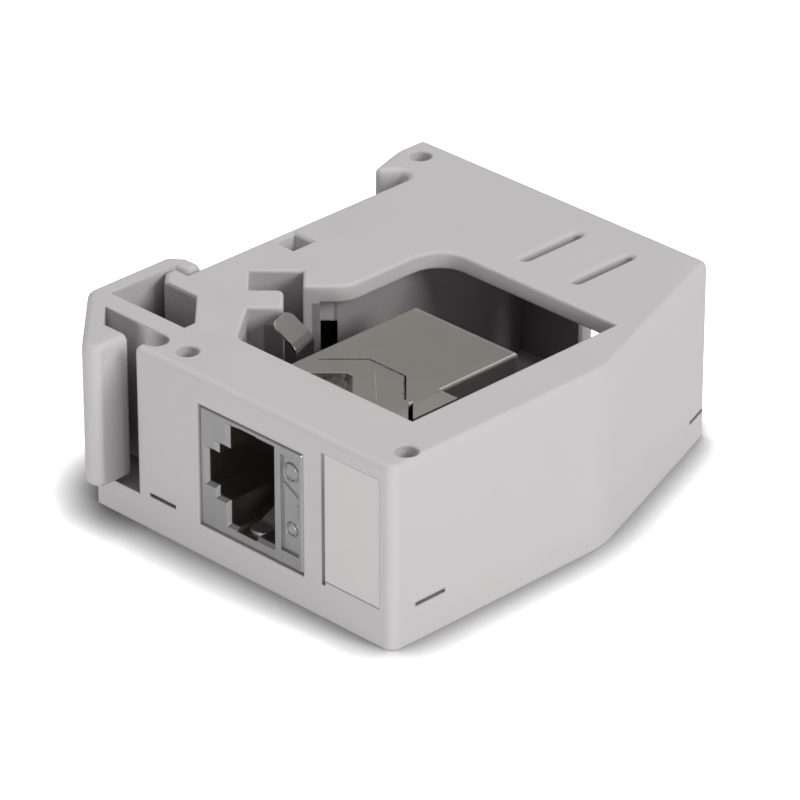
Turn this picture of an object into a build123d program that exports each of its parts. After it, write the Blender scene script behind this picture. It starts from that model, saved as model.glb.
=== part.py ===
from build123d import *
import math
import os

# Shielded RJ45 inline coupler in a moulded housing for 35 mm rail, lying on its flat side.
# X runs from the rail to the front panel at 0, Y along the rail from the port face at 0,
# and Z is the module's width, from the side it lies on.

# Housing
front_to_rail = 48.9
front_length = 32.9
slant_angle = 19.8
bend_round = 10.0
wall = 2.2
top_plate = 2.0
edge_round = 0.8
corner_round = 1.2
rim_round = 0.35

# Rail grip: a fixed hook at the far end and a lug beside the spring foot
rail_height = 35.0
rail_centre = 34.7
rail_thickness = 1.0
hook_reach = 6.3
hook_tip_reach = 4.4
hook_tip_length = 2.8
hook_block = 7.8
hook_slope_rise = 3.4
hook_slope_round = 6.0
hook_round = 0.8
hook_lip_round = 0.5
lug_reach = 2.1
lug_width = 3.2

# Spring foot: an outer bar with a hook, a finger tab and the flexing strip that holds them
foot_lift = 4.7
foot_gap = 0.2
foot_bar = 2.5
foot_hook_width = 2.4
tab_reach = 4.05
tab_tip_width = 1.8
tab_tip_drop = 0.85
tab_right = -42.4
tab_back = 1.1
strip_width = 2.7
slot_width = 3.0
slot_end_x = -37.9
body_left = -40.2
pocket_right = -39.3
pocket_slant = 4.7
ledge_height = 3.9
ledge_left = -46.7

# Window over the coupler, with the slot for the latch
window_near = 9.4
window_far = 41.1
window_right = -6.4
window_left = -33.8
window_round = 4.0
pocket_round = 2.2
catch_round = 0.9
slot_left_sum = -22.9
slot_neck_sum = -17.3
slot_right_sum = -14.3
post_right_sum = -11.65
slot_far_diff = 66.1
catch_far_diff = 59.4
catch_near_diff = 53.15
catch_back = 2.8
post_face_diff = 60.6
pocket_corner_x = -33.6
post_wall = 1.9

# Hollows behind the window
chamber_left = -36.5
divider = 2.0
wall_window_face_diff = 64.05
wall_window_right_sum = -8.95
wall_window_sill = 9.0
wall_window_top = 16.6

# Small features of the housing's upper side
dimple_radius = 1.3
dimple_rim = 0.2
dimple_depth = 1.4
dimples = [(-35.1, 3.3), (-2.05, 4.1), (-52.1, 56.4)]
pit_centre = (-46.3, 30.3)
pit_size = 2.95
pit_depth = 2.6
pit_taper = 8.0
tie_slot_centres = [(-24.8, 50.0), (-16.8, 50.0)]
tie_slot_length = 9.6
tie_slot_width = 1.2

# Side cover, let into the housing's rim, with snap arms and ribs that carry the coupler
cover_thickness = 1.8
cover_rim = 1.2
cover_gap = 0.1
rib_thickness = 1.2
rib_inset = 0.6
rib_places = [4.0, 14.5, 19.5, 29.5]
slant_snap_inset = 2.3
snap_slot_height = 0.45
snap_arm_thickness = 1.1
snap_arm_gap = 0.1
snap_arm_rise = 0.9
snap_nose_height = 0.3
snap_nose_back = 0.7

# Label plate beside the port
label_left = -10.2
label_right = -2.0
label_bottom = 4.6
label_top = 20.2
label_thickness = 1.2
label_gap = 0.08
label_groove = 0.5
label_groove_depth = 0.45

# Coupler: two die-cast halves, back to back
coupler_left = -29.8
coupler_width = 16.2
coupler_bottom = 4.0
coupler_height = 14.8
coupler_headroom = 1.4
coupler_recess = 0.05
coupler_length = 33.3
port_gap = 0.1
shell_round = 0.4
tongue_length = 3.85
tongue_root = (-28.1, -14.9)
seam_gap = 0.25
relief_depth = 0.7
relief_taper = 40
relief_apex = (-23.8, -22.8)
relief_apex_y = 16.6
relief_near = 12.0
lip_reach = 2.6
lip_length = 4.3
lip_front_length = 3.8
lip_notch = 0.5
lip_bottom = 8.0
stop_rib_top = 16.0
stop_rib_thickness = 1.5
cable_opening = (-27.6, -15.2)
cable_opening_height = 14.4
cable_opening_round = 1.5

# Jack opening: the main hollow and the two steps for the plug's latch
jack_floor = -18.4
jack_centre = 11.72
jack_depth = 13.4
jack_steps = [(-25.25, 12.05), (-27.0, 6.4), (-28.6, 4.0)]
jack_chamfer = 0.4
face_thickness = 1.6
contact_room = 3.6
mark_strip = (-17.1, -14.3)
mark_strip_height = 11.8
mark_strip_depth = 0.3

# Contacts, carriers and board
contact_count = 8
contact_pitch = 1.016
contact_size = 0.35
contact_bend = 0.5
contact_front = 3.6
contact_tip_reach = 4.75
contact_tip_depth = 12.4
groove_width = 0.6
groove_depth = 1.35
carrier_gap = 0.08
board_thickness = 1.2
board_gap = 0.15

# Shield springs
spring_x = -22.45
spring_width = 2.8
spring_thickness = 0.2
spring_channel_width = 3.1
spring_channel_depth = 0.45
spring_channel_length = 11.2
spring_start = 1.1
spring_foot = 3.4
spring_crest = 6.8
spring_rise = 1.2
spring_bend = 1.2
spring_room = 0.6

# Latch spring of the coupler
latch_thickness = 0.25
latch_root = 3.2
latch_bend = 13.6
latch_angle = 17.9
latch_tip = 19.15
latch_bottom = 6.5
latch_top = 16.5
latch_tab_width = 3.95
latch_tab_rise_start = 19.5
latch_tab_reach = 3.15
latch_tab_rise = 2.5
latch_tab_start = 2.0
latch_tab_round = 1.1
latch_bend_round = 3.0
latch_tab_bend_round = 1.6


def plan(*corners):
    """Face in plan through (x, y, radius) corners, in order."""
    points = [(x, y) for x, y, _ in corners]
    radii = [radius for _, _, radius in corners]
    return make_face(FilletPolyline(*points, radius=radii, close=True))


def sharp(*points):
    """Face in plan with sharp corners."""
    return make_face(Polyline(*points, close=True))


def slab(face, bottom, top):
    """Upright prism over a plan face."""
    return Pos(0, 0, bottom) * extrude(face, amount=top - bottom, dir=(0, 0, 1))


def along_y(face, start, end):
    """Prism along Y over a face drawn as (X, Z)."""
    return Plane.XZ * Pos(0, 0, -end) * extrude(face, amount=end - start, dir=(0, 0, 1))


def along_x(face, start, end):
    """Prism along X over a face drawn as (Y, Z)."""
    return Plane.YZ * Pos(0, 0, start) * extrude(face, amount=end - start, dir=(0, 0, 1))


def block(left, right, near, far, bottom, top):
    """Box between two planes in each direction."""
    size = (right - left, far - near, top - bottom)
    return Pos((left + right) / 2, (near + far) / 2, (bottom + top) / 2) * Box(*size)


def crossing(total, difference):
    """Point where the 45 degree lines x + y = total and y - x = difference meet."""
    return ((total - difference) / 2, (total + difference) / 2)


def front_side(inset):
    """Corners of the front and its slanted part, moved inward, from the port face on."""
    slant = math.radians(slant_angle)
    bend_y = front_length - inset * math.tan(slant / 2)
    far_x = -(length - inset - front_length) * math.tan(slant) - inset / math.cos(slant)
    return [(-inset, inset), (-inset, bend_y), (far_x, length - inset)]


# Levels and lines that follow from the sizes
rail_x = -front_to_rail
seat_far = rail_centre + rail_height / 2
seat_near = rail_centre - rail_height / 2
length = seat_far + hook_block
module_width = coupler_bottom + coupler_height + coupler_headroom + top_plate
lug_far = seat_near - 0.9
lug_near = lug_far - lug_width
foot_inner = rail_x - lug_reach - foot_gap
foot_outer = foot_inner - foot_bar
strip_near = tab_back + slot_width
strip_far = strip_near + strip_width
ceiling = module_width - top_plate
coupler_right = coupler_left + coupler_width
coupler_top = coupler_bottom + coupler_height
coupler_far = coupler_recess + coupler_length
spring_end = spring_channel_length - spring_room
seam_y = coupler_recess + coupler_length / 2
lip_sum = coupler_right + seam_y
half_length = coupler_length / 2
board_face = half_length - board_thickness / 2
slot_a = crossing(slot_left_sum, slot_far_diff)
slot_b = crossing(slot_right_sum, slot_far_diff)
slot_c = crossing(slot_left_sum, catch_far_diff)
slot_d = crossing(slot_neck_sum, catch_far_diff)
slot_e = crossing(slot_neck_sum, catch_near_diff)
slot_f = (slot_e[0] - catch_back, slot_e[1] - catch_back)
wall_window_back_diff = wall_window_face_diff + divider * math.sqrt(2)
post_left = crossing(slot_right_sum, post_face_diff)
post_right = crossing(post_right_sum, post_face_diff)


# Housing: the rail side of the body, from the far hook to the lug
def body_face():
    bend_x = front_side(0)[2][0]
    return plan(
        (0, 0, corner_round),
        (0, front_length, bend_round),
        (bend_x, length, corner_round),
        (rail_x - hook_reach, length, hook_round),
        (rail_x - hook_reach, seat_far + hook_slope_rise, hook_slope_round),
        (rail_x - hook_tip_reach, seat_far - hook_tip_length, hook_round),
        (rail_x - 2 * rail_thickness, seat_far, hook_lip_round),
        (rail_x - rail_thickness, seat_far, hook_lip_round),
        (rail_x, seat_far - rail_thickness, 0),
        (rail_x, lug_far, 0),
        (rail_x - lug_reach, lug_far, 0),
        (rail_x - lug_reach, lug_far - lug_width / 2, 0),
        (rail_x - lug_reach + lug_width / 2, lug_near, 0),
        (pocket_right - pocket_slant, lug_near, 0),
        (pocket_right, lug_near - pocket_slant, hook_round),
        (pocket_right, strip_far - hook_round, 0),
        (body_left, strip_far - hook_round, 0),
        (body_left, 0, hook_round),
    )


def foot_face():
    hook_far = lug_far + foot_gap + foot_hook_width
    strip_end = slot_end_x
    slope_sum = foot_outer + seat_near - 11.7
    tip_left = tab_right - tab_tip_width
    return plan(
        (foot_inner, lug_far + foot_gap, 0),
        (rail_x - 0.3, lug_far + foot_gap, 0.85),
        (rail_x - 0.4, hook_far, 0.85),
        (foot_inner - 0.7, hook_far, hook_round),
        (foot_outer, hook_far - 1.4, hook_round),
        (foot_outer, slope_sum - foot_outer, 2.0),
        (tip_left, -tab_reach, 1.6),
        (tab_right, tab_tip_drop - tab_reach, hook_round + 0.1),
        (tab_right, tab_back, 0),
        (ledge_left + 0.5, tab_back, 0),
        (ledge_left + 0.5 - slot_width, strip_near, 0),
        (strip_end, strip_near, 0),
        (strip_end, strip_far, 0),
        (foot_inner, strip_far, 0),
    )


def ledge_face():
    foot_slope = foot_inner - ledge_left
    return plan(
        (body_left + wall, 0, 0),
        (ledge_left, 0, hook_round),
        (foot_inner, -foot_slope, hook_round),
        (foot_inner, lug_far, 0),
        (rail_x + wall, lug_far, 0),
    )


def window_face():
    return plan(
        (window_right, window_near, 0),
        (window_right, window_far, 0),
        (window_left, window_far, window_round),
        (window_left, window_left + post_face_diff, window_round),
        (*post_left, 0),
        (*slot_b, 0),
        (*slot_a, 0),
        (*slot_c, 0),
        (*slot_d, catch_round),
        (*slot_e, 0),
        (*slot_f, 0),
        (pocket_corner_x, window_near, pocket_round),
    )


def chamber_face():
    near, bend, far = front_side(wall)
    return sharp(
        near,
        bend,
        far,
        (chamber_left, far[1]),
        (chamber_left, wall_window_right_sum - chamber_left),
        crossing(post_right_sum, wall_window_face_diff),
        post_right,
        post_left,
        slot_b,
        slot_a,
        slot_c,
        slot_d,
        slot_e,
        slot_f,
        (pocket_corner_x, window_near),
        (pocket_corner_x, wall),
    )


def rail_core_face():
    """Second hollow, between the chamber's wall and the rail."""
    right = chamber_left - divider
    left = rail_x + wall
    pit_right = pit_centre[0] + pit_size
    pit_far = pit_centre[1] + pit_size
    wall_diff = slot_far_diff + post_wall * math.sqrt(2)
    return sharp(
        (right, length - wall),
        (right, wall_window_back_diff + right),
        crossing(post_right_sum, wall_window_back_diff),
        crossing(post_right_sum, wall_diff),
        (pit_right, pit_right + wall_diff),
        (pit_right, pit_far),
        (left, pit_far),
        (left, length - wall),
    )


def cover_face(inset):
    near, bend, far = front_side(inset)
    return sharp(
        near,
        bend,
        far,
        (rail_x + inset, length - inset),
        (rail_x + inset, lug_far - inset),
        (foot_inner + inset, lug_far - inset),
        (foot_inner + inset, ledge_left - foot_inner + inset * 0.41),
        (ledge_left + inset * 0.41, inset),
    )


# Snap arms: where each slot lies on the outside, its length, height, and the arm behind it
slant_turn = 90 + slant_angle
slant_snap_y = length - slant_snap_inset
slant_place = ((front_length - slant_snap_y) * math.tan(math.radians(slant_angle)), slant_snap_y)
snaps = [
    (0, (-35.9, 0), 4.2, ledge_height + 0.3, 0, 3.6),
    (90, (0, 5.75), 4.5, 4.3, 0, 3.6),
    (slant_turn, slant_place, 3.8, 3.2, -0.95, 1.8),
]


def snap_slot(length_along, height):
    half = length_along / 2
    return block(-half, half, -0.1, wall, height, height + snap_slot_height)


def snap_room(shift, arm_width, height):
    half = arm_width / 2 + 0.3
    depth = wall + snap_arm_thickness + 0.8
    top = height + snap_slot_height + snap_arm_rise + 0.4
    return block(shift - half, shift + half, wall, depth, 0, top)


def snap_arm(shift, arm_width, height):
    """Upright arm on the cover, with a nose that stands in the slot."""
    half = arm_width / 2
    face = wall + snap_arm_gap
    top = height + snap_slot_height + snap_arm_rise
    arm = block(shift - half, shift + half, face, face + snap_arm_thickness, cover_thickness / 2, top)
    nose_bottom = height + (snap_slot_height - snap_nose_height) / 2
    nose_top = nose_bottom + snap_nose_height
    nose = block(shift - half, shift + half, snap_nose_back, face + 0.2, nose_bottom, nose_top)
    return arm + nose


def placed(turn, place, solid):
    return Pos(place[0], place[1], 0) * Rot(0, 0, turn) * solid


def dimple_core():
    """Shallow round hole with a sloped rim, as the solid that it takes away."""
    outline = sharp(
        (0, 0), (dimple_radius + dimple_rim, 0), (dimple_radius, -dimple_rim),
        (dimple_radius, -dimple_depth), (0, -dimple_depth),
    )
    return revolve(Plane.XZ * outline, Axis.Z)


def top_edges(solid):
    return [e for e in solid.edges() if e.bounding_box().min.Z > module_width - 0.001]


def matching_edges(solid, wire):
    """Edges of the solid that lie where the wire's edges lie."""
    centres = [e.center() for e in wire.edges()]
    return [e for e in top_edges(solid) if min((e.center() - c).length for c in centres) < 0.001]


def round_foot_pockets(point):
    """True for edges of the pockets behind the foot, which stay crisp."""
    across = foot_inner - 0.01 < point.X < slot_end_x + 0.2
    return across and tab_back - 0.01 < point.Y < lug_near + 0.01


def make_housing():
    slot_mid = tab_back + slot_width / 2
    slot_radius = slot_width / 2
    slot_round_x = slot_end_x - slot_radius
    slot_tail = Pos(slot_round_x, slot_mid) * Circle(slot_radius)
    slot_tail += Pos(slot_round_x - slot_radius, slot_mid) * Rectangle(slot_width, slot_width)
    solid = slab(body_face(), 0, module_width) - slab(slot_tail, ledge_height, module_width)
    solid += slab(ledge_face(), 0, ledge_height)
    foot = slab(foot_face(), foot_lift, module_width)
    solid += chamfer(foot.faces().sort_by(Axis.Z)[0].edges(), rim_round)
    rim = top_edges(solid)
    solid = fillet([e for e in rim if not round_foot_pockets(e.center())], edge_round)

    # Hollows, open towards the cover
    solid -= slab(chamber_face(), 0, ceiling)
    solid -= slab(rail_core_face(), 0, ceiling)
    solid -= slab(cover_face(cover_rim), 0, cover_thickness)
    ledge_side = Pos(-length, lug_far - wall - length) * Rectangle(length * 2, length * 2)
    ledge_core = cover_face(wall) & ledge_side
    solid -= slab(ledge_core, 0, ledge_height - wall)

    # Window, slots, dimples and pit in the upper side
    solid -= slab(window_face(), ceiling - 1, module_width)
    rim = solid.faces().sort_by(Axis.Z)[-1].inner_wires()[0]
    solid = fillet(matching_edges(solid, rim), rim_round)
    mouth = 2 * rim_round
    for x, y in tie_slot_centres:
        place = Pos(x, y, module_width) * Rot(0, 0, 90)
        slot = SlotOverall(tie_slot_length, tie_slot_width)
        flare = SlotOverall(tie_slot_length + mouth, tie_slot_width + mouth)
        solid -= place * extrude(slot, amount=-2 * top_plate)
        solid -= place * extrude(flare, amount=-rim_round, taper=45)
    pit = extrude(Rectangle(pit_size, pit_size), amount=-pit_depth, taper=pit_taper)
    pit += extrude(Rectangle(pit_size + mouth, pit_size + mouth), amount=-rim_round, taper=45)
    solid -= Pos(*pit_centre, module_width) * pit
    for x, y in dimples:
        solid -= Pos(x, y, module_width) * dimple_core()

    # Port, cable outlet, label seat and the opening in the divider
    solid -= block(
        coupler_left - port_gap, coupler_right + port_gap, -1, wall,
        coupler_bottom - port_gap, coupler_top + port_gap,
    )
    outlet_width = cable_opening[1] - cable_opening[0]
    outlet = RectangleRounded(outlet_width, cable_opening_height, cable_opening_round)
    outlet_x = sum(cable_opening) / 2
    outlet_z = coupler_bottom + cable_opening_height / 2
    solid -= along_y(Pos(outlet_x, outlet_z) * outlet, length - wall, length + 1)
    solid -= block(label_left, label_right, -1, label_thickness, label_bottom, label_top)
    solid -= block(
        label_left - label_groove, label_left, -1, label_groove_depth,
        label_bottom - label_groove, label_top,
    )
    core_diff = wall_window_right_sum - 2 * (chamber_left - divider)
    wall_window = sharp(
        crossing(post_right_sum, wall_window_face_diff),
        crossing(wall_window_right_sum, wall_window_face_diff),
        crossing(wall_window_right_sum, core_diff),
        crossing(post_right_sum, core_diff),
    )
    solid -= slab(wall_window, wall_window_sill, wall_window_top)

    # Slots for the cover's noses, and room for its arms
    for turn, place, slot_length, height, shift, arm_width in snaps:
        solid -= placed(turn, place, snap_slot(slot_length, height))
        solid -= placed(turn, place, snap_room(shift, arm_width, height))

    # Rib that the coupler's fixed lip stops against
    stop_left = coupler_right + port_gap
    stop = block(
        stop_left, stop_left + stop_rib_thickness, wall, seam_y - lip_front_length - port_gap,
        coupler_bottom, stop_rib_top,
    )
    return solid + stop


def make_side_cover():
    solid = slab(cover_face(cover_rim + cover_gap), 0, cover_thickness)
    for place in rib_places:
        solid += block(
            coupler_left + rib_inset, coupler_right - rib_inset, place, place + rib_thickness,
            cover_thickness, coupler_bottom,
        )
    for turn, place, _, height, shift, arm_width in snaps:
        solid += placed(turn, place, snap_arm(shift, arm_width, height))
    return solid


def make_label_plate():
    return block(
        label_left, label_right, 0, label_thickness,
        label_bottom + label_gap, label_top,
    )


# Coupler halves, drawn from the jack face inward
def jack_face(shrink):
    """The jack opening as (X, Z): a wide hollow and two narrower steps."""
    right = jack_floor - shrink
    corners = []
    for left, width in jack_steps:
        half = width / 2 - shrink
        corners.append((right, half))
        corners.append((left + shrink, half))
        right = left + shrink
    upper = [(x, jack_centre + half) for x, half in corners]
    lower = [(x, jack_centre - half) for x, half in reversed(corners)]
    return sharp(*upper, *lower)


def spring_channel(side):
    half = spring_channel_width / 2
    start = jack_steps[0][1] / 2 - 0.1
    end = jack_steps[0][1] / 2 + spring_channel_depth
    low, high = sorted((jack_centre + side * start, jack_centre + side * end))
    return block(spring_x - half, spring_x + half, -1, spring_channel_length, low, high)


def make_shell_half():
    solid = block(coupler_left, coupler_right, 0, half_length, coupler_bottom, coupler_top)
    long_edges = solid.edges().filter_by(Axis.Y)
    face_edges = solid.faces().sort_by(Axis.Y)[0].edges()
    solid = fillet(long_edges + face_edges, shell_round)
    solid -= along_y(jack_face(0), -1, half_length + 1)
    opening = [e for e in solid.edges() if abs(e.bounding_box().max.Y) < 0.001]
    opening = [e for e in opening if e.bounding_box().min.X > coupler_left + shell_round + 0.1
               and e.bounding_box().max.X < coupler_right - shell_round - 0.1]
    solid = chamfer(opening, jack_chamfer)
    room_half = jack_steps[0][1] / 2
    solid -= block(
        jack_floor - 0.5, jack_floor + contact_room, face_thickness, half_length + 1,
        jack_centre - room_half, jack_centre + room_half,
    )
    solid -= spring_channel(1)
    solid -= spring_channel(-1)
    strip_half = mark_strip_height / 2
    solid -= block(
        *mark_strip, -1, mark_strip_depth,
        jack_centre - strip_half, jack_centre + strip_half,
    )
    return solid


def tongue_face(grow):
    left = tongue_root[0] - grow
    right = tongue_root[1] + grow
    root = seam_y - tongue_length / 2
    tip = tongue_length + grow / 2
    return sharp(
        (left, root), (left, seam_y), (left + tip, seam_y + tip),
        (right - tip, seam_y + tip), (right, seam_y), (right, root),
    )


def lip_face(near_sum, far_sum, near, far):
    """Plan of a side lip between two cross planes, cut off along one 45 degree line or two."""
    inner = coupler_right - shell_round
    outer = coupler_right + lip_reach
    band = sharp((inner, near), (outer, near), (outer, far), (inner, far))
    between = sharp(
        (inner - 1, near_sum - inner + 1), (outer + 1, near_sum - outer - 1),
        (outer + 1, far_sum - outer - 1), (inner - 1, far_sum - inner + 1),
    )
    return band & between


def make_front_shell(half):
    top_wall = jack_centre + jack_steps[0][1] / 2
    solid = Pos(0, coupler_recess, 0) * half
    solid += slab(tongue_face(0), top_wall + 0.05, coupler_top)
    lip = lip_face(-length, lip_sum - lip_notch * math.sqrt(2), seam_y - lip_front_length, seam_y)
    solid += slab(lip, lip_bottom, coupler_top)
    left, right = relief_apex
    side = relief_apex_y - relief_near
    relief = sharp(
        (left, relief_apex_y), (right, relief_apex_y),
        (right + side, relief_near), (left - side, relief_near),
    )
    return solid - Pos(0, 0, coupler_top) * extrude(relief, amount=-relief_depth, taper=relief_taper)


def make_rear_shell(half):
    solid = Pos(0, coupler_far, 0) * mirror(half, about=Plane.XZ)
    top_wall = jack_centre + jack_steps[0][1] / 2
    notch = tongue_face(seam_gap)
    solid -= slab(notch, top_wall - 0.1, coupler_top + 1)
    lip = lip_face(lip_sum, length, seam_y - lip_front_length, seam_y + lip_length)
    return solid + slab(lip, lip_bottom, coupler_top)


def make_carrier_half():
    """Contact carrier: the floor under the contacts and the wall that stops the plug."""
    room_half = jack_steps[0][1] / 2 - carrier_gap
    floor = jack_floor + carrier_gap
    solid = block(
        floor, jack_floor + contact_room - carrier_gap, face_thickness + carrier_gap, board_face,
        jack_centre - room_half, jack_centre + room_half,
    )
    solid += along_y(jack_face(carrier_gap), jack_depth, board_face)
    solid += block(
        jack_floor - 1, floor + 0.5, jack_depth, board_face,
        jack_centre - room_half, jack_centre + room_half,
    )
    for height in contact_heights():
        solid -= block(
            floor - 0.001, floor + groove_depth, 0, half_length,
            height - groove_width / 2, height + groove_width / 2,
        )
    return solid


def contact_heights():
    first = jack_centre - contact_pitch * (contact_count - 1) / 2
    return [first + contact_pitch * number for number in range(contact_count)]


def make_contact_half(height):
    """Square wire: a straight root in its groove, a tight bend and the sloping free leg."""
    root_x = jack_floor + carrier_gap + groove_depth - contact_size / 2
    path = FilletPolyline(
        (root_x, board_face), (root_x, contact_front),
        (root_x - contact_tip_reach, contact_tip_depth), radius=contact_bend,
    )
    wire = trace(path, contact_size)
    return slab(wire, height - contact_size / 2, height + contact_size / 2)


def make_spring_half(side):
    """Shield spring: a foot in its channel, then a bow that stands into the jack."""
    base = jack_steps[0][1] / 2 + spring_channel_depth - spring_thickness / 2
    path = FilletPolyline(
        (spring_start, jack_centre + side * base),
        (spring_foot, jack_centre + side * base),
        (spring_crest, jack_centre + side * (base - spring_rise - spring_channel_depth)),
        (spring_end, jack_centre + side * base),
        radius=spring_bend,
    )
    strip = along_x(trace(path, spring_thickness), spring_x - spring_width / 2, spring_x + spring_width / 2)
    return fillet(strip.edges().filter_by(Axis.Z).group_by(Axis.Y)[0], spring_width / 2 - 0.05)


def front(half):
    return Pos(0, coupler_recess, 0) * half


def rear(half):
    return Pos(0, coupler_far, 0) * mirror(half, about=Plane.XZ)


def make_board():
    half = jack_steps[0][1] / 2 - board_gap
    return block(
        jack_steps[0][0] + board_gap, jack_floor + contact_room - board_gap,
        seam_y - board_thickness / 2, seam_y + board_thickness / 2,
        jack_centre - half, jack_centre + half,
    )


def make_latch_spring():
    """Sheet lever along the coupler's side that ends in an outward tab."""
    lean = math.radians(latch_angle)
    root_x = coupler_left - latch_thickness / 2
    tip_x = root_x - (latch_tip - latch_bend) * math.tan(lean)
    path = FilletPolyline(
        (root_x, latch_root), (root_x, latch_bend), (tip_x, latch_tip), radius=latch_bend_round
    )
    lever = slab(trace(path, latch_thickness), latch_bottom, latch_top)
    profile = FilletPolyline(
        (0, latch_top - latch_tab_start), (0, latch_tab_rise_start),
        (latch_tab_reach, latch_tab_rise_start + latch_tab_rise), radius=latch_tab_bend_round,
    )
    sheet = extrude(trace(profile, latch_thickness), amount=latch_tab_width, dir=(0, 0, 1))
    corners = [e for e in sheet.edges() if abs(e.length - latch_thickness) < 0.001]
    sheet = fillet(ShapeList(corners).group_by(Axis.X)[-1], latch_tab_round)
    along = (-math.sin(lean), math.cos(lean), 0)
    start = (tip_x - along[0] * latch_tab_width, latch_tip - along[1] * latch_tab_width, 0)
    frame = Plane(origin=start, x_dir=(-math.cos(lean), -math.sin(lean), 0), z_dir=along)
    return lever + frame * sheet


half_shell = make_shell_half()
half_carrier = make_carrier_half()
nodes = {
    "housing": make_housing(),
    "side_cover": make_side_cover(),
    "label_plate": make_label_plate(),
    "front_shell": make_front_shell(half_shell),
    "rear_shell": make_rear_shell(half_shell),
    "latch_spring": make_latch_spring(),
    "circuit_board": make_board(),
    "front_carrier": front(half_carrier),
    "rear_carrier": rear(half_carrier),
    "front_shield_spring_top": front(make_spring_half(1)),
    "front_shield_spring_bottom": front(make_spring_half(-1)),
    "rear_shield_spring_top": rear(make_spring_half(1)),
    "rear_shield_spring_bottom": rear(make_spring_half(-1)),
}
for number, height in enumerate(contact_heights(), start=1):
    nodes[f"front_contact_{number}"] = front(make_contact_half(height))
    nodes[f"rear_contact_{number}"] = rear(make_contact_half(height))

# The origin is under the middle of the housing, on the surface it lies on
box = nodes["housing"].bounding_box()
to_origin = Pos(-(box.min.X + box.max.X) / 2, -(box.min.Y + box.max.Y) / 2, 0)
os.makedirs("parts", exist_ok=True)
for name, solid in nodes.items():
    export_step(to_origin * solid, f"parts/{name}.step")
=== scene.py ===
import math

import bmesh
import bpy
from mathutils import Matrix, Vector


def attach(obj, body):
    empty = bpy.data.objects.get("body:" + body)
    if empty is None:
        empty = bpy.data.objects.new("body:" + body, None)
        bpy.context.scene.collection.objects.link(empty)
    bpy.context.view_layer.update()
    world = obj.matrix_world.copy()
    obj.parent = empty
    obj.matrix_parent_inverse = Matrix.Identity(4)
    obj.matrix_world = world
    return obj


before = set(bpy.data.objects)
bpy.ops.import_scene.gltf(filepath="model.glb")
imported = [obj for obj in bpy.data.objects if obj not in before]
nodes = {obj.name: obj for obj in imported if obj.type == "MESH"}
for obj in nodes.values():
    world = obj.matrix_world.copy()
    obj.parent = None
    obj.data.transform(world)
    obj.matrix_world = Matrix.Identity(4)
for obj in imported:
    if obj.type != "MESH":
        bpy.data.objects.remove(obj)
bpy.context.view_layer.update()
mm = 0.001

# Housing: one injection moulding in light grey plastic with a fine satin skin, straight from the tool.
# The side cover is a second moulding that snaps on underneath, so both share the moulded finish below.
housing_grey = (0.60, 0.58, 0.585, 1.0)
cover_grey = (0.575, 0.556, 0.56, 1.0)


def new_group(name, inputs, outputs):
    """Empty shader node group with named sockets: (name, kind, default) in, (name, kind) out."""
    group = bpy.data.node_groups.new(name, "ShaderNodeTree")
    for label, kind, default in inputs:
        socket = group.interface.new_socket(label, in_out="INPUT", socket_type=kind)
        socket.default_value = default
    for label, kind in outputs:
        group.interface.new_socket(label, in_out="OUTPUT", socket_type=kind)
    start = group.nodes.new("NodeGroupInput")
    end = group.nodes.new("NodeGroupOutput")
    return group, start, end


def noise_node(group, place, scale, detail=2.0, roughness=0.5):
    """Noise in object space, so it stays the same size on every piece."""
    noise = group.nodes.new("ShaderNodeTexNoise")
    noise.inputs["Scale"].default_value = scale
    noise.inputs["Detail"].default_value = detail
    noise.inputs["Roughness"].default_value = roughness
    group.links.new(place, noise.inputs["Vector"])
    return noise.outputs["Fac"]


def ranged(group, value, low, high, start=0.0, end=1.0):
    """Value moved from the span start..end to low..high."""
    node = group.nodes.new("ShaderNodeMapRange")
    node.inputs["From Min"].default_value = start
    node.inputs["From Max"].default_value = end
    node.inputs["To Min"].default_value = low
    node.inputs["To Max"].default_value = high
    group.links.new(value, node.inputs["Value"])
    return node.outputs["Result"]


def scaled_colour(group, colour, factor):
    """Colour times a factor that changes over the surface."""
    node = group.nodes.new("ShaderNodeVectorMath")
    node.operation = "SCALE"
    group.links.new(colour, node.inputs[0])
    group.links.new(factor, node.inputs["Scale"])
    return node.outputs["Vector"]


def combined(group, operation, first, second, clamp=False):
    """Two values or plain numbers put together by one math node."""
    node = group.nodes.new("ShaderNodeMath")
    node.operation = operation
    node.use_clamp = clamp
    for number, value in enumerate((first, second)):
        if isinstance(value, float):
            node.inputs[number].default_value = value
        else:
            group.links.new(value, node.inputs[number])
    return node.outputs["Value"]


def vector_math(group, operation, *vectors):
    """Vectors put together by one node: a value for dot product and distance, otherwise a vector."""
    node = group.nodes.new("ShaderNodeVectorMath")
    node.operation = operation
    for number, vector in enumerate(vectors):
        group.links.new(vector, node.inputs[number])
    return node.outputs["Value" if operation in ("DOT_PRODUCT", "DISTANCE") else "Vector"]


def object_place(group):
    return group.nodes.new("ShaderNodeTexCoord").outputs["Object"]


finish_sockets = [
    ("Colour", "NodeSocketColor"), ("Roughness", "NodeSocketFloat"), ("Height", "NodeSocketFloat"),
]


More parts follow.
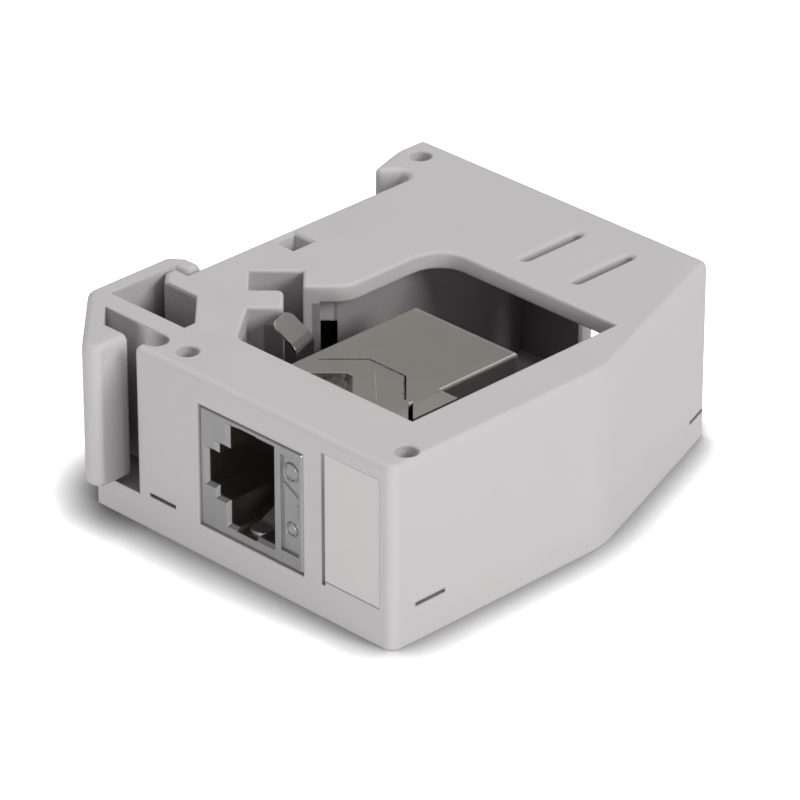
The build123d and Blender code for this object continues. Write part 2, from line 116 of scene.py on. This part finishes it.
def make_moulded_skin():
    """Satin skin of moulded plastic: faint flow mottling and a fine even grain."""
    group, start, end = new_group(
        "moulded_skin",
        [("Colour", "NodeSocketColor", (0.5, 0.5, 0.5, 1.0)), ("Mottle", "NodeSocketFloat", 0.02),
         ("Satin", "NodeSocketFloat", 0.0)],
        finish_sockets,
    )
    place = object_place(group)
    flow = noise_node(group, place, scale=90.0, detail=3.0)
    grain = noise_node(group, place, scale=5200.0)
    mottle = combined(group, "MULTIPLY", ranged(group, flow, -1.0, 1.0, 0.25, 0.75), start.outputs["Mottle"])
    colour = scaled_colour(group, start.outputs["Colour"], combined(group, "ADD", mottle, 1.0))
    satin = combined(group, "ADD", ranged(group, flow, 0.40, 0.50, 0.3, 0.7), start.outputs["Satin"])
    group.links.new(colour, end.inputs["Colour"])
    group.links.new(satin, end.inputs["Roughness"])
    group.links.new(grain, end.inputs["Height"])
    return group


moulded_skin = make_moulded_skin()


def make_box_mask():
    """One inside a box in object space, falling to zero over a soft edge at its sides."""
    group, start, end = new_group(
        "box_mask",
        [("Centre", "NodeSocketVector", (0.0, 0.0, 0.0)), ("Half", "NodeSocketVector", (1.0, 1.0, 1.0)),
         ("Edge", "NodeSocketFloat", 0.0001)],
        [("Mask", "NodeSocketFloat")],
    )
    offset = vector_math(group, "SUBTRACT", object_place(group), start.outputs["Centre"])
    distance = vector_math(group, "ABSOLUTE", offset)
    inside = group.nodes.new("ShaderNodeSeparateXYZ")
    group.links.new(vector_math(group, "SUBTRACT", start.outputs["Half"], distance), inside.inputs["Vector"])
    least = inside.outputs["X"]
    for axis in ("Y", "Z"):
        least = combined(group, "MINIMUM", least, inside.outputs[axis])
    share = combined(group, "DIVIDE", least, start.outputs["Edge"], clamp=True)
    group.links.new(share, end.inputs["Mask"])
    return group


box_mask = make_box_mask()


def boxed(group, centre, half, edge):
    """Mask of a box given in millimetres."""
    node = group.nodes.new("ShaderNodeGroup")
    node.node_tree = box_mask
    node.inputs["Centre"].default_value = [value * mm for value in centre]
    node.inputs["Half"].default_value = [value * mm for value in half]
    node.inputs["Edge"].default_value = edge * mm
    return node.outputs["Mask"]


# The hollow round the coupler, where the housing's colour is darkened as painted shade: each box is its
# centre, its half size and its soft edge, in millimetres.
chamber_boxes = [
    ((6.05, -2.8, 9.0), (15.25, 16.2, 11.05), 0.1),
    ((0.0, 21.8, 9.0), (9.2, 8.6, 11.05), 0.1),
]
chamber_painted_shade = 0.55
fade_bottom, fade_top = 15.5 * mm, 20.5 * mm


def shaded_by_depth(tree, colour, depth, darkest):
    """Painted shade: colour darkened low down where the piece's own walls close in, and over the whole
    chamber.
    """
    closed = tree.nodes.new("ShaderNodeAmbientOcclusion")
    closed.only_local = True
    closed.samples = 8
    closed.inputs["Distance"].default_value = depth
    flat = tree.nodes.new("ShaderNodeNewGeometry").outputs["True Normal"]
    tree.links.new(flat, closed.inputs["Normal"])
    height = tree.nodes.new("ShaderNodeSeparateXYZ")
    tree.links.new(object_place(tree), height.inputs["Vector"])
    low = ranged(tree, height.outputs["Z"], 1.0, 0.0, fade_bottom, fade_top)
    lost = combined(tree, "MULTIPLY", low, ranged(tree, closed.outputs["AO"], 1.0 - darkest, 0.0, 0.3, 0.8))
    chamber = combined(tree, "MAXIMUM", *[boxed(tree, *box) for box in chamber_boxes])
    kept = combined(tree, "SUBTRACT", 1.0, lost)
    kept = combined(tree, "MULTIPLY", kept, ranged(tree, chamber, 1.0, chamber_painted_shade))
    return scaled_colour(tree, colour, kept)


def finish_material(name, group, values, bump=0.0, edge=0.0, depth=0.0, darkest=0.5, **shader_values):
    """Principled material whose colour, roughness and bump come from a finish group; a depth adds painted
    shade to the colour.
    """
    material = bpy.data.materials.new(name)
    material.use_nodes = True
    tree = material.node_tree
    shader = tree.nodes["Principled BSDF"]
    for label, value in shader_values.items():
        shader.inputs[label.replace("_", " ")].default_value = value
    finish = tree.nodes.new("ShaderNodeGroup")
    finish.node_tree = group
    for label, value in values.items():
        finish.inputs[label].default_value = value
    colour = finish.outputs["Colour"]
    if depth:
        colour = shaded_by_depth(tree, colour, depth, darkest)
    tree.links.new(colour, shader.inputs["Base Color"])
    tree.links.new(finish.outputs["Roughness"], shader.inputs["Roughness"])
    relief = tree.nodes.new("ShaderNodeBump")
    relief.inputs["Strength"].default_value = bump
    relief.inputs["Distance"].default_value = 0.02 * mm
    tree.links.new(finish.outputs["Height"], relief.inputs["Height"])
    tree.links.new(relief.outputs["Normal"], shader.inputs["Normal"])
    if edge:
        softened = tree.nodes.new("ShaderNodeBevel")
        softened.samples = 4
        softened.inputs["Radius"].default_value = edge
        tree.links.new(softened.outputs["Normal"], relief.inputs["Normal"])
    return material


def wear_on(names, material):
    """Gives the CAD pieces their finish, in every slot."""
    for name in names:
        slots = nodes[name].data.materials
        if not len(slots):
            slots.append(material)
        for number in range(len(slots)):
            slots[number] = material


# The housing's colour carries painted shade in its hollows and over the chamber round the coupler.
housing_plastic = finish_material(
    "housing_plastic", moulded_skin, {"Colour": housing_grey, "Mottle": 0.012},
    bump=0.12, edge=0.35 * mm, depth=14 * mm, darkest=0.52, Specular_IOR_Level=0.35,
)
wear_on(["housing"], housing_plastic)
cover_plastic = finish_material(
    "cover_plastic", moulded_skin, {"Colour": cover_grey, "Mottle": 0.012}, bump=0.12
)
wear_on(["side_cover"], cover_plastic)

# Label plate: a smoother moulded strip pressed into its seat beside the port, left blank.
# It is the same plastic in a slightly lighter shade.
label_plastic = finish_material(
    "label_plastic", moulded_skin, {"Colour": (0.67, 0.645, 0.65, 1.0), "Mottle": 0.006}, bump=0.05
)
wear_on(["label_plate"], label_plastic)


# Coupler halves: zinc die castings with a thin nickel plate over the blasted skin.
# The casting skin stays slightly rough, and the plating gives it a warm grey satin.
def make_cast_skin():
    """Nickel over a die-cast skin: fine grain and soft stains."""
    group, start, end = new_group(
        "cast_skin",
        [("Colour", "NodeSocketColor", (0.3, 0.3, 0.3, 1.0)), ("Rough", "NodeSocketFloat", 0.35)],
        finish_sockets,
    )
    place = object_place(group)
    stain = noise_node(group, place, scale=160.0, detail=4.0, roughness=0.6)
    grain = noise_node(group, place, scale=3600.0, detail=3.0, roughness=0.6)
    tint = ranged(group, stain, 0.96, 1.05, 0.3, 0.7)
    rough = combined(group, "ADD", start.outputs["Rough"], ranged(group, grain, -0.015, 0.02, 0.3, 0.7))
    group.links.new(scaled_colour(group, start.outputs["Colour"], tint), end.inputs["Colour"])
    group.links.new(rough, end.inputs["Roughness"])
    group.links.new(grain, end.inputs["Height"])
    return group


cast_skin = make_cast_skin()


def make_line_mask():
    """One on the line between two points in object space, falling to zero at half the width."""
    group, start, end = new_group(
        "line_mask",
        [("From", "NodeSocketVector", (0.0, 0.0, 0.0)), ("Span", "NodeSocketVector", (1.0, 0.0, 0.0)),
         ("Half", "NodeSocketFloat", 0.0001)],
        [("Mask", "NodeSocketFloat")],
    )
    span = start.outputs["Span"]
    offset = vector_math(group, "SUBTRACT", object_place(group), start.outputs["From"])
    reach = vector_math(group, "DOT_PRODUCT", offset, span)
    along = combined(group, "DIVIDE", reach, vector_math(group, "DOT_PRODUCT", span, span), clamp=True)
    nearest = scaled_colour(group, span, along)
    away = combined(group, "DIVIDE", vector_math(group, "DISTANCE", offset, nearest), start.outputs["Half"])
    group.links.new(ranged(group, away, 1.0, 0.0, 0.4, 1.0), end.inputs["Mask"])
    return group


line_mask = make_line_mask()
shell_top = 18.8


def lined(group, points, half):
    """Mask of a line through points on the coupler's top, in millimetres."""
    total = None
    for first, second in zip(points, points[1:]):
        node = group.nodes.new("ShaderNodeGroup")
        node.node_tree = line_mask
        node.inputs["From"].default_value = [value * mm for value in (*first, shell_top)]
        node.inputs["Span"].default_value = [(b - a) * mm for a, b in zip(first, second)] + [0.0]
        node.inputs["Half"].default_value = half * mm
        mask = node.outputs["Mask"]
        total = mask if total is None else combined(group, "MAXIMUM", total, mask)
    return total


# Places on the castings, in millimetres: boxes as for the chamber, lines as points and half width.
front_port = ((6.0, -28.0, 11.0), (12.0, 0.65, 12.0), 0.1)
rear_port = ((6.0, 5.15, 11.0), (12.0, 0.65, 12.0), 0.1)
relief_floor = ((4.3, -13.84, 18.2), (5.6, 2.7, 0.53), 0.02)
side_lip = ((18.0, -11.0, 14.0), (3.9, 9.0, 10.0), 0.2)
# The seam between the shells is darkened along this line as painted shade, broken up by the grain.
seam_line = (((-0.5, -11.44), (3.35, -7.59), (8.85, -7.59), (12.7, -11.44)), 0.24)
# The step line on the front shell's top is brightened as a painted highlight.
step_highlight_line = (((5.76, -9.09), (10.7, -13.74)), 0.1)


def make_casting(name, port_face, relief):
    """Cast skin with a cooler port face, a coarse lip, painted shade along the seam and, on the front half,
    a painted highlight on the step line and a relief floor darkened in blotches as painted shade.
    """
    group, start, end = new_group(
        name,
        [("Colour", "NodeSocketColor", (0.3, 0.3, 0.3, 1.0)),
         ("Port", "NodeSocketColor", (0.3, 0.3, 0.3, 1.0)), ("Rough", "NodeSocketFloat", 0.35)],
        finish_sockets,
    )
    skin = group.nodes.new("ShaderNodeGroup")
    skin.node_tree = cast_skin
    tint = group.nodes.new("ShaderNodeMix")
    tint.data_type = "RGBA"
    group.links.new(boxed(group, *port_face), tint.inputs[0])
    group.links.new(start.outputs["Colour"], tint.inputs[6])
    group.links.new(start.outputs["Port"], tint.inputs[7])
    group.links.new(tint.outputs[2], skin.inputs["Colour"])
    group.links.new(start.outputs["Rough"], skin.inputs["Rough"])
    coarse = noise_node(group, object_place(group), scale=1500.0, detail=3.0, roughness=0.65)
    lip = boxed(group, *side_lip)
    seam_grain_breakup = combined(group, "SUBTRACT", 1.0, ranged(group, coarse, 0.35, 1.0, 0.35, 0.62))
    painted_seam_shade = combined(group, "MULTIPLY", lined(group, *seam_line), seam_grain_breakup)
    colour = scaled_colour(group, skin.outputs["Colour"], combined(group, "SUBTRACT", 1.0, painted_seam_shade))
    colour = scaled_colour(group, colour, ranged(group, lip, 1.0, 0.85))
    rough = combined(group, "ADD", skin.outputs["Roughness"], ranged(group, lip, 0.0, 0.12))
    lumps = combined(group, "MULTIPLY", coarse, ranged(group, lip, 0.0, 10.0))
    height = combined(group, "ADD", skin.outputs["Height"], lumps)
    if relief:
        # Painted highlight along the step line.
        colour = scaled_colour(group, colour, ranged(group, lined(group, *step_highlight_line), 1.0, 1.3))
        # Painted shade: the relief floor's faces that turn away from +X are darkened, broken up in blotches.
        floor = boxed(group, *relief)
        side = group.nodes.new("ShaderNodeSeparateXYZ")
        flat = group.nodes.new("ShaderNodeNewGeometry").outputs["True Normal"]
        group.links.new(flat, side.inputs["Vector"])
        away = ranged(group, side.outputs["X"], 0.0, 1.0, -0.25, -0.1)
        relief_painted_shade = combined(group, "MULTIPLY", floor, away)
        blotch = ranged(group, coarse, 0.22, 0.5, 0.35, 0.65)
        depth = combined(group, "MULTIPLY", relief_painted_shade, combined(group, "SUBTRACT", 1.0, blotch))
        colour = scaled_colour(group, colour, combined(group, "SUBTRACT", 1.0, depth))
        rough = combined(group, "ADD", rough, ranged(group, relief_painted_shade, 0.0, 0.3))
    group.links.new(colour, end.inputs["Colour"])
    group.links.new(rough, end.inputs["Roughness"])
    group.links.new(height, end.inputs["Height"])
    return group


nickel_values = {"Colour": (0.385, 0.368, 0.342, 1.0), "Port": (0.47, 0.465, 0.47, 1.0), "Rough": 0.36}
front_nickel = finish_material(
    "front_nickel", make_casting("front_casting", front_port, relief_floor), nickel_values,
    bump=0.1, edge=0.12 * mm, Metallic=1.0,
)
rear_nickel = finish_material(
    "rear_nickel", make_casting("rear_casting", rear_port, None), nickel_values,
    bump=0.1, edge=0.12 * mm, Metallic=1.0,
)
wear_on(["front_shell"], front_nickel)
wear_on(["rear_shell"], rear_nickel)

# Casting marks: plain raised figures on the floor of the strip beside the jack, part of the front casting.
# They stand a little lower than the strip's rim, with sloped sides so that they leave the mould.
strip_floor = -27.79 * mm
mark_rise = 0.2 * mm
mark_slope = 0.13 * mm
bar_half_width = 0.22 * mm
# Rings: centre, outer radius, inner radius. Bars: start, end. Millimetres, X then Z.
rings = [((11.95, 15.75), 1.2, 0.85), ((11.95, 8.75), 0.95, 0.6)]
bars = [((10.95, 14.1), (12.95, 12.95)), ((12.95, 11.9), (12.95, 10.5))]
ring_steps = 28
bar_end_steps = 6


def ring_loop(centre_x, centre_z, radius):
    turns = [2 * math.pi * step / ring_steps for step in range(ring_steps)]
    return [(centre_x + radius * math.cos(turn), centre_z + radius * math.sin(turn)) for turn in turns]


def bar_loop(start, end, half_width):
    """Outline of a bar with round ends between two points."""
    along = math.atan2(end[1] - start[1], end[0] - start[0])
    points = []
    for centre, first in ((end, along - math.pi / 2), (start, along + math.pi / 2)):
        for step in range(bar_end_steps + 1):
            turn = first + math.pi * step / bar_end_steps
            points.append((centre[0] + half_width * math.cos(turn), centre[1] + half_width * math.sin(turn)))
    return points


def bridge(mesh, first, second):
    """Faces between two loops with the same number of points."""
    for number in range(len(first)):
        after = (number + 1) % len(first)
        mesh.faces.new((first[number], first[after], second[after], second[number]))


def make_casting_marks():
    mesh = bmesh.new()

    def loop(points, y):
        return [mesh.verts.new((x, y, z)) for x, z in points]

    crest = strip_floor - mark_rise
    for centre, outer, inner in rings:
        place = [value * mm for value in centre]
        base = loop(ring_loop(*place, outer * mm), strip_floor)
        top = loop(ring_loop(*place, outer * mm - mark_slope), crest)
        top_inner = loop(ring_loop(*place, inner * mm + mark_slope), crest)
        base_inner = loop(ring_loop(*place, inner * mm), strip_floor)
        bridge(mesh, base, top)
        bridge(mesh, top, top_inner)
        bridge(mesh, top_inner, base_inner)
    for bar in bars:
        start, end = [[value * mm for value in point] for point in bar]
        base = loop(bar_loop(start, end, bar_half_width), strip_floor)
        top = loop(bar_loop(start, end, bar_half_width - mark_slope), crest)
        bridge(mesh, base, top)
        mesh.faces.new(top)
    bmesh.ops.recalc_face_normals(mesh, faces=mesh.faces)
    data = bpy.data.meshes.new("casting_marks")
    mesh.to_mesh(data)
    mesh.free()
    data.materials.append(front_nickel)
    marks = bpy.data.objects.new("casting_marks", data)
    bpy.context.scene.collection.objects.link(marks)
    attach(marks, "root")


make_casting_marks()

# Latch spring and shield springs: thin steel strip, stamped and bent, with a bright rolled face.
# The latch spring snaps behind the housing's catch bar, and the shield springs sit in the jacks' channels.
spring_steel = finish_material(
    "spring_steel", cast_skin, {"Colour": (0.56, 0.55, 0.54, 1.0), "Rough": 0.2},
    edge=0.1 * mm, Metallic=1.0,
)
# The shield springs get a much lighter steel than the latch spring, as a painted highlight.
shield_spring_steel_highlit = finish_material(
    "shield_spring_steel_highlit", cast_skin, {"Colour": (0.85, 0.84, 0.83, 1.0), "Rough": 0.38},
    edge=0.25 * mm, Metallic=1.0,
)
jacks = ("front", "rear")
wear_on(["latch_spring"], spring_steel)
wear_on([f"{jack}_shield_spring_{side}" for jack in jacks for side in ("top", "bottom")], shield_spring_steel_highlit)

# Contact carriers: one black, matt plastic moulding in each jack, pushed in from behind.
# They hold the contact wires in their grooves. The plastic is taken to be nylon, as in most such jacks.
carrier_nylon = finish_material(
    "carrier_nylon", moulded_skin, {"Colour": (0.02, 0.02, 0.021, 1.0), "Mottle": 0.1, "Satin": -0.1},
    bump=0.05, edge=0.12 * mm,
)
wear_on(["front_carrier", "rear_carrier"], carrier_nylon)

# Contacts: eight sprung wires in each jack, gold plated, that press on the plug's blades.
# The wires are taken to be phosphor bronze, with their tails soldered into the board.
contact_gold = finish_material(
    "contact_gold", cast_skin, {"Colour": (0.8, 0.58, 0.25, 1.0), "Rough": 0.22}, Metallic=1.0
)
wear_on([f"{jack}_contact_{number}" for jack in jacks for number in range(1, 9)], contact_gold)

# Circuit board: a small glass epoxy board with green solder mask, clamped between the two carriers.
# It joins the two rows of contacts and is hidden in the photo.
board_mask = finish_material(
    "board_mask", moulded_skin, {"Colour": (0.02, 0.09, 0.035, 1.0), "Mottle": 0.1}, bump=0.05
)
wear_on(["circuit_board"], board_mask)

# Floor and light: a white sweep in a studio, with soft boxes above, behind and at both front sides.
# The camera sees the sweep as plain white, with its real shadow and a painted contact shadow next to the
# part, and the part is lit by a duller one.
floor_half = 1.2
contact_shadow_reach = 7 * mm


def shown_to_camera(tree, other, shown, output):
    """One shader for what the camera sees directly, another for all other rays."""
    pick = tree.nodes.new("ShaderNodeMixShader")
    rays = tree.nodes.new("ShaderNodeLightPath")
    tree.links.new(rays.outputs["Is Camera Ray"], pick.inputs["Fac"])
    tree.links.new(other, pick.inputs[1])
    tree.links.new(shown, pick.inputs[2])
    tree.links.new(pick.outputs["Shader"], output.inputs["Surface"])


def make_floor():
    mesh = bpy.data.meshes.new("floor")
    corners = [(-floor_half, -floor_half, 0), (floor_half, -floor_half, 0),
               (floor_half, floor_half, 0), (-floor_half, floor_half, 0)]
    mesh.from_pydata(corners, [], [(0, 1, 2, 3)])
    floor = bpy.data.objects.new("floor", mesh)
    bpy.context.scene.collection.objects.link(floor)
    material = bpy.data.materials.new("white_sweep")
    material.use_nodes = True
    tree = material.node_tree
    tree.nodes.clear()
    output = tree.nodes.new("ShaderNodeOutputMaterial")
    seen = tree.nodes.new("ShaderNodeBsdfDiffuse")
    # Painted contact shadow: the seen white is darkened where the part closes in.
    closed = tree.nodes.new("ShaderNodeAmbientOcclusion")
    closed.samples = 8
    closed.inputs["Distance"].default_value = contact_shadow_reach
    shade = ranged(tree, combined(tree, "POWER", closed.outputs["AO"], 2.3), 0.0, 2.1)
    tree.links.new(shade, seen.inputs["Color"])
    lit = tree.nodes.new("ShaderNodeBsdfDiffuse")
    lit.inputs["Color"].default_value = (0.8, 0.8, 0.8, 1.0)
    shown_to_camera(tree, lit.outputs["BSDF"], seen.outputs["BSDF"], output)
    mesh.materials.append(material)


make_floor()


def make_world():
    world = bpy.data.worlds.new("studio")
    world.use_nodes = True
    bpy.context.scene.world = world
    tree = world.node_tree
    tree.nodes.clear()
    output = tree.nodes.new("ShaderNodeOutputWorld")
    fill, white = [tree.nodes.new("ShaderNodeBackground") for _ in range(2)]
    for background, strength in ((fill, 0.22), (white, 1.0)):
        background.inputs["Color"].default_value = (1.0, 1.0, 1.0, 1.0)
        background.inputs["Strength"].default_value = strength
    shown_to_camera(tree, fill.outputs["Background"], white.outputs["Background"], output)


make_world()


aim = Vector((0.0, 0.0, 0.01))


def add_soft_box(name, place, size, power):
    """Rectangular area lamp that faces the middle of the part."""
    lamp = bpy.data.lights.new(name, "AREA")
    lamp.shape = "RECTANGLE"
    lamp.size, lamp.size_y = size
    lamp.energy = power
    box = bpy.data.objects.new(name, lamp)
    bpy.context.scene.collection.objects.link(box)
    box.location = place
    box.rotation_euler = (aim - Vector(place)).to_track_quat("-Z", "Y").to_euler()


add_soft_box("over_box", (0.05, 0.0, 0.85), (0.6, 0.6), 0.6)
add_soft_box("back_left_box", (-0.45, 0.1, 0.72), (0.6, 0.6), 1.6)
add_soft_box("back_right_box", (-0.1, 0.45, 0.72), (0.6, 0.6), 1.6)
add_soft_box("right_box", (0.72, 0.1, 0.4), (0.4, 0.3), 3.55)
add_soft_box("left_box", (0.2, -0.85, 0.05), (0.6, 0.08), 2.95)

# Camera: the photograph's view, from above the corner where the port face meets the front.
# Its place and focal length were solved from the photo's vanishing points and edges.
view_azimuth = math.radians(45.114)
view_elevation = math.radians(28.013)
view_place = Vector((383.027, -380.986, 297.020)) * mm
sensor_width = 36.0
view_focal_pixels = 5453.0
picture_width = 800.0


def make_camera():
    back = Vector((
        math.sin(view_azimuth) * math.cos(view_elevation),
        -math.cos(view_azimuth) * math.cos(view_elevation),
        math.sin(view_elevation),
    ))
    right = Vector((math.cos(view_azimuth), math.sin(view_azimuth), 0.0))
    up = back.cross(right)
    lens = bpy.data.cameras.new("view")
    lens.sensor_width = sensor_width
    lens.lens = view_focal_pixels / picture_width * sensor_width
    lens.clip_start = 0.01
    lens.clip_end = 10.0
    camera = bpy.data.objects.new("view", lens)
    bpy.context.scene.collection.objects.link(camera)
    turn = Matrix((right, up, back)).transposed().to_4x4()
    camera.matrix_world = Matrix.Translation(view_place) @ turn
    bpy.context.scene.camera = camera


make_camera()
bpy.context.scene.view_settings.view_transform = "Standard"
